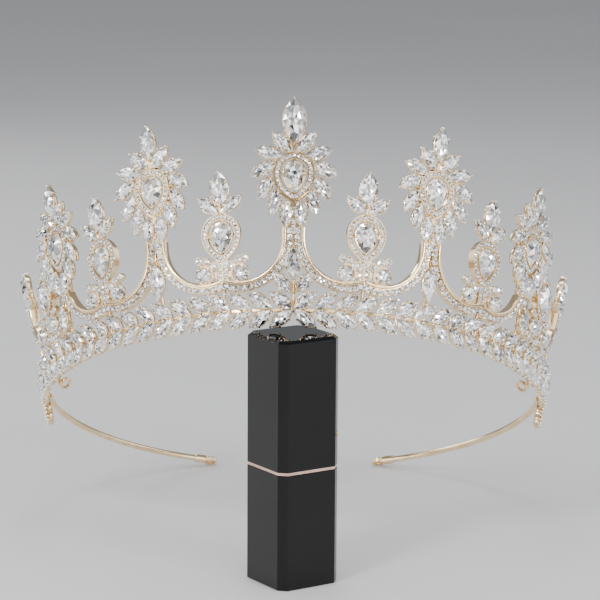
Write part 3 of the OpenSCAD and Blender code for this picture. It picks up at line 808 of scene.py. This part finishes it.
def build_wire(way):
    """One half of the headband wire, from inside the end of the band to the sleeve."""
    circle = [(WIRE_OUT + WIRE_RADIUS * math.cos(a), STEM + WIRE_RADIUS * math.sin(a))
              for a in np.arange(WIRE_SIDES) * math.tau / WIRE_SIDES]
    start, stop = way * (BAND_HALF_ANGLE - WIRE_START), way * (TIP_ANGLE - WIRE_STOP)
    return ring_sweep(circle, start, stop, WIRE_STEPS)


def build_frame(metal, stones, beads):
    """All the soldered metal apart from the cups, with the small stones set in it."""
    metal.add(build_rail())
    build_swags(metal, stones, beads)
    for large in LARGE:
        build_halo(metal, stones, beads, large.angle, large.height)
        build_large_ornament(metal, stones, beads, large)
        metal.add(post(large.height - POST_SHORT), large.angle)
    for small in SMALL:
        build_halo(metal, stones, beads, small.angle, small.height)
        build_small_ornament(metal, stones, beads, small)
        metal.add(post(SWAG_LOW + 2), small.angle)
    for way in (-1, 1):
        metal.add(bar(FINIAL_BAR, FINIAL_HEIGHT), way * FINIAL_ANGLE)
        metal.add(post(FINIAL_POST), way * FINIAL_ANGLE)
        metal.add(build_wire(way))


def torus(radius, thick, z, tall):
    """A flat ring whose outer edges are eased."""
    e = 0.25 * thick
    profile = [(radius - thick, 0), (radius - thick, tall), (radius - thick + e, tall), (radius - e, tall),
               (radius, tall - e), (radius, e), (radius - e, 0), (radius - thick + e, 0)]
    a = np.arange(TORUS_SIDES) * math.tau / TORUS_SIDES
    rim = np.column_stack([np.cos(a), np.sin(a)])
    return loft([level(rim * r, z + h) for r, h in profile], loop=True)


def at_ring(shape, angle, out):
    """A shape modelled about the ring's upright direction, moved to a place on the ring."""
    a = math.radians(angle)
    spin = np.array([[math.cos(a), math.sin(a), 0], [-math.sin(a), math.cos(a), 0], [0, 0, 1]])
    points = (shape[0] + (0, -RING - out, 0)) @ spin
    return points, shape[1]


def leaning(shape, way):
    """A pin loop turned so that its axis meets the stem of the band, then moved to its height."""
    stem, a = RING + RAIL_REAR + RAIL[0] / 2, math.radians(LOOP_AIM_ANGLE)
    aim = Vector((stem * math.sin(a), RING - LOOP_IN - stem * math.cos(a), STEM - LOOP_HEIGHT))
    lean, swing = math.acos(aim.z / aim.length), math.atan2(aim.y, aim.x)
    turn = Matrix.Rotation(swing if way > 0 else math.pi - swing, 3, "Z") @ Matrix.Rotation(lean, 3, "Y")
    return shape[0] @ np.array(turn).T + (0, 0, LOOP_HEIGHT), shape[1]


def build_ends(gold):
    """The sleeve with its eyelet at each end of the wire, and the pin loops inside the band."""
    for side, way in [("left", -1), ("right", 1)]:
        end, loop = Shells(), Shells()
        sleeve, faces = lathe(SLEEVE_PROFILE, SLEEVE_SIDES)
        sleeve = np.column_stack([sleeve[:, 2], sleeve[:, 1] + SLEEVE_OUT, sleeve[:, 0] + STEM])
        end.add(at_ring(solid(sleeve, faces), way * (TIP_ANGLE - SLEEVE_SHORT), 0))
        eyelet = torus(EYELET_RADIUS, EYELET_WALL, STEM - EYELET_HEIGHT / 2, EYELET_HEIGHT)
        end.add(at_ring(eyelet, way * TIP_ANGLE, 0))
        end.build(f"sleeve_and_eyelet_{side}", gold, "gold", smooth=35, replaces=[f"end_eyelet_{side}"])
        pin_ring = torus(LOOP_RADIUS, LOOP_WALL, -LOOP_THICK / 2, LOOP_THICK)
        loop.add(at_ring(leaning(pin_ring, way), way * LOOP_ANGLE, -LOOP_IN))
        loop.add(bar(LOOP_BAR), way * LOOP_ANGLE)
        loop.build(f"hairpin_loop_{side}", gold, "gold", smooth=35, replaces=[f"pin_loop_{side}"])


# Materials

def new_material(name):
    """A material with its nodes, links and shader."""
    material = bpy.data.materials.new(name)
    material.use_nodes = True
    nodes, links = material.node_tree.nodes, material.node_tree.links
    return material, nodes, links, nodes["Principled BSDF"]


def set_inputs(node, **values):
    """Sets sockets by name, with an underscore for a space."""
    for name, value in values.items():
        node.inputs[name.replace("_", " ")].default_value = value


def noise(nodes, links, scale, detail=4.0):
    """Noise that is fixed to the object."""
    where = nodes.new("ShaderNodeTexCoord")
    texture = nodes.new("ShaderNodeTexNoise")
    set_inputs(texture, Scale=scale, Detail=detail)
    links.new(where.outputs["Object"], texture.inputs["Vector"])
    return texture.outputs["Fac"]


def ramp(nodes, links, value, *stops):
    """A value turned into a colour, from pairs of position and colour."""
    made = nodes.new("ShaderNodeValToRGB")
    while len(made.color_ramp.elements) < len(stops):
        made.color_ramp.elements.new(0.5)
    for element, (position, colour) in zip(made.color_ramp.elements, stops):
        element.position = position
        element.color = (*colour, 1)
    links.new(value, made.inputs["Fac"])
    return made.outputs["Color"]


def bump(nodes, links, value, strength, distance):
    """A surface direction that follows a height."""
    made = nodes.new("ShaderNodeBump")
    set_inputs(made, Strength=strength, Distance=distance)
    links.new(value, made.inputs["Height"])
    return made.outputs["Normal"]


def gold_material(name, light, deep, smooth, rough):
    """Plated metal: clouds from a deep to a light tone, smoother and rougher spots, and a fine grain."""
    cloud_scale, wear_scale, grain_scale = 260.0, 900.0, 1500.0
    material, nodes, links, shader = new_material(name)
    set_inputs(shader, Metallic=1.0)
    cloud = noise(nodes, links, cloud_scale)
    links.new(ramp(nodes, links, cloud, (0.32, deep), (0.62, light)), shader.inputs["Base Color"])
    wear = noise(nodes, links, wear_scale)
    gloss = ramp(nodes, links, wear, (0.3, (smooth,) * 3), (0.7, (rough,) * 3))
    links.new(gloss, shader.inputs["Roughness"])
    grain = noise(nodes, links, grain_scale, 2.0)
    links.new(bump(nodes, links, grain, 0.12, 0.0002), shader.inputs["Normal"])
    return material


def stone_material(name):
    """Cut crystal over a mirror back. Each facet has its own tone, a painted reflection in its colour, and
    its own inner reflections.
    """
    material, nodes, links, shader = new_material(name)
    set_inputs(shader, Metallic=0.85, Roughness=0.06, IOR=2.1)
    set_inputs(shader, Coat_Weight=1.0, Coat_Roughness=0.01, Coat_IOR=2.1)
    tone = nodes.new("ShaderNodeAttribute")
    tone.attribute_name = "tone"
    facet = nodes.new("ShaderNodeAttribute")
    facet.attribute_name = "facet"
    links.new(tone.outputs["Color"], shader.inputs["Base Color"])
    links.new(facet.outputs["Vector"], shader.inputs["Normal"])
    return material


def block_material(name):
    """Glossy black plastic, with faint clouds in its tone and its gloss."""
    cloud_scale, wear_scale = 40.0, 90.0
    deep, light = (0.0012, 0.0012, 0.0015), (0.0025, 0.0025, 0.003)
    smooth, rough = 0.02, 0.06
    material, nodes, links, shader = new_material(name)
    set_inputs(shader, IOR=1.36)
    cloud = noise(nodes, links, cloud_scale, 6.0)
    links.new(ramp(nodes, links, cloud, (0.35, deep), (0.7, light)), shader.inputs["Base Color"])
    wear = noise(nodes, links, wear_scale, 8.0)
    gloss = ramp(nodes, links, wear, (0.35, (smooth,) * 3), (0.75, (rough,) * 3))
    links.new(gloss, shader.inputs["Roughness"])
    return material


# Pieces

def build_crown():
    """The whole crown: stones by node, the metal, the ends, the claws, the small stones and the beads."""
    gold = gold_material("gold", (0.96, 0.77, 0.48), (0.87, 0.63, 0.35), 0.09, 0.20)
    # Claws and beads get a paler, smoother copy of the gold; its paler colour is a painted highlight
    bright_gold = gold_material("bright_gold", (0.97, 0.89, 0.76), (0.92, 0.80, 0.62), 0.07, 0.15)
    gem = stone_material("cut_stone")
    metal, small_stones, beads = Shells(), Shells(), Shells()
    build_frame(metal, small_stones, beads)
    claws = {"band": Shells(), "ornament": Shells()}
    for node, stones in all_stones().items():
        cut = set_stones(stones, metal, claws["band" if node.startswith("band") else "ornament"])
        cut.build("cut_" + node, gem, "stone", replaces=[node])
    for side, way in [("left", -1), ("right", 1)]:
        cut = set_stones(tail_leaves(way), metal, claws["band"])
        cut.build(f"cut_tail_stones_{side}", gem, "stone")
        metal.add(bar(TAIL_BAR), way * TAIL_ANGLE)
    metal.build("crown_metal", gold, "gold", smooth=35, replaces=["crown_frame"])
    build_ends(gold)
    for name, shells in claws.items():
        shells.build(f"{name}_claws", bright_gold, "gold", smooth=60)
    small_stones.build("small_set_stones", gem, "stone")
    beads.build("setting_beads", bright_gold, "gold", smooth=60)


def block_part(name, low, high, material, bevels, grow=0.0):
    """A slice of the block from one height to another, with its lower and upper edges eased."""
    half, c = BLOCK["side"] / 2 + grow, BLOCK["chamfer"]
    outline = np.array([(-half, -half + c), (-half + c, -half), (half - c, -half), (half, -half + c),
                        (half, half - c), (half - c, half), (-half + c, half), (-half, half - c)])
    under, over = bevels
    rings = [level(outline * (1 - under / half), low), level(outline, low + under),
             level(outline, high - over), level(outline * (1 - over / half), high)]
    points, faces = loft(rings)
    points = turned(points, BLOCK["turn"])
    corner_low, corner_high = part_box("stand_base")
    points = points / 1000 + (0, (corner_low.y + corner_high.y) / 2, 0)
    mesh = bpy.data.meshes.new("block_" + name)
    mesh.from_pydata(points.tolist(), [], faces)
    mesh.materials.append(material)
    piece = bpy.data.objects.new("block_" + name, mesh)
    bpy.context.scene.collection.objects.link(piece)
    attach(piece, "root")
    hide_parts("stand_" + name)


def build_block():
    """The block in its two halves, with the bright seam between them."""
    black = block_material("block_black")
    rose = gold_material("rose_gold", (0.80, 0.55, 0.46), (0.66, 0.42, 0.34), 0.10, 0.2)
    seam = BLOCK["seam"]
    block_part("base", 0, seam - HALF_GAP, black, bevels=(0.3, 0.15))
    seam_low, seam_high = seam - SEAM_REACH, seam + SEAM_REACH
    block_part("seam", seam_low, seam_high, rose, bevels=(0.02, 0.02), grow=SEAM_GROW)
    block_part("cap", seam + HALF_GAP, BLOCK["height"], black, bevels=(0.15, 0.85))


# Stage

def build_floor():
    """A plain pale floor."""
    mesh = bpy.data.meshes.new("floor")
    far = FLOOR_REACH
    mesh.from_pydata([(-far, -far, 0), (far, -far, 0), (far, far, 0), (-far, far, 0)], [], [(0, 1, 2, 3)])
    material, nodes, links, shader = new_material("floor")
    set_inputs(shader, Roughness=0.45)
    cloud = noise(nodes, links, 3.0)
    tones = ramp(nodes, links, cloud, (0.3, (0.66, 0.66, 0.67)), (0.7, (0.70, 0.70, 0.71)))
    links.new(tones, shader.inputs["Base Color"])
    mesh.materials.append(material)
    floor = bpy.data.objects.new("floor", mesh)
    bpy.context.scene.collection.objects.link(floor)


def build_lights():
    """The lights, and a pale world round them."""
    for name, place, side, power in LIGHTS:
        data = bpy.data.lights.new(name, "AREA")
        data.size, data.energy = side, power
        light = bpy.data.objects.new(name, data)
        light.location = place
        light.rotation_euler = (LIGHT_AIM - Vector(place)).to_track_quat("-Z", "Y").to_euler()
        bpy.context.scene.collection.objects.link(light)
    world = bpy.data.worlds.new("studio")
    world.use_nodes = True
    set_inputs(world.node_tree.nodes["Background"], Color=WORLD_COLOUR, Strength=WORLD_STRENGTH)
    bpy.context.scene.world = world


def build_camera():
    """The photograph's viewpoint, with a lens for its square frame."""
    data = bpy.data.cameras.new("camera")
    data.sensor_width, data.lens = SENSOR, LENS
    camera = bpy.data.objects.new("camera", data)
    camera.location = CAMERA_AT
    turn = Matrix.Rotation(math.radians(CAMERA_TURN), 3, "Z")
    tilt = Matrix.Rotation(math.radians(90 - CAMERA_TILT), 3, "X")
    roll = Matrix.Rotation(math.radians(CAMERA_ROLL), 3, "Z")
    camera.rotation_euler = (turn @ tilt @ roll).to_euler()
    bpy.context.scene.collection.objects.link(camera)
    bpy.context.scene.camera = camera


build_camera()
build_crown()
build_block()
build_floor()
build_lights()
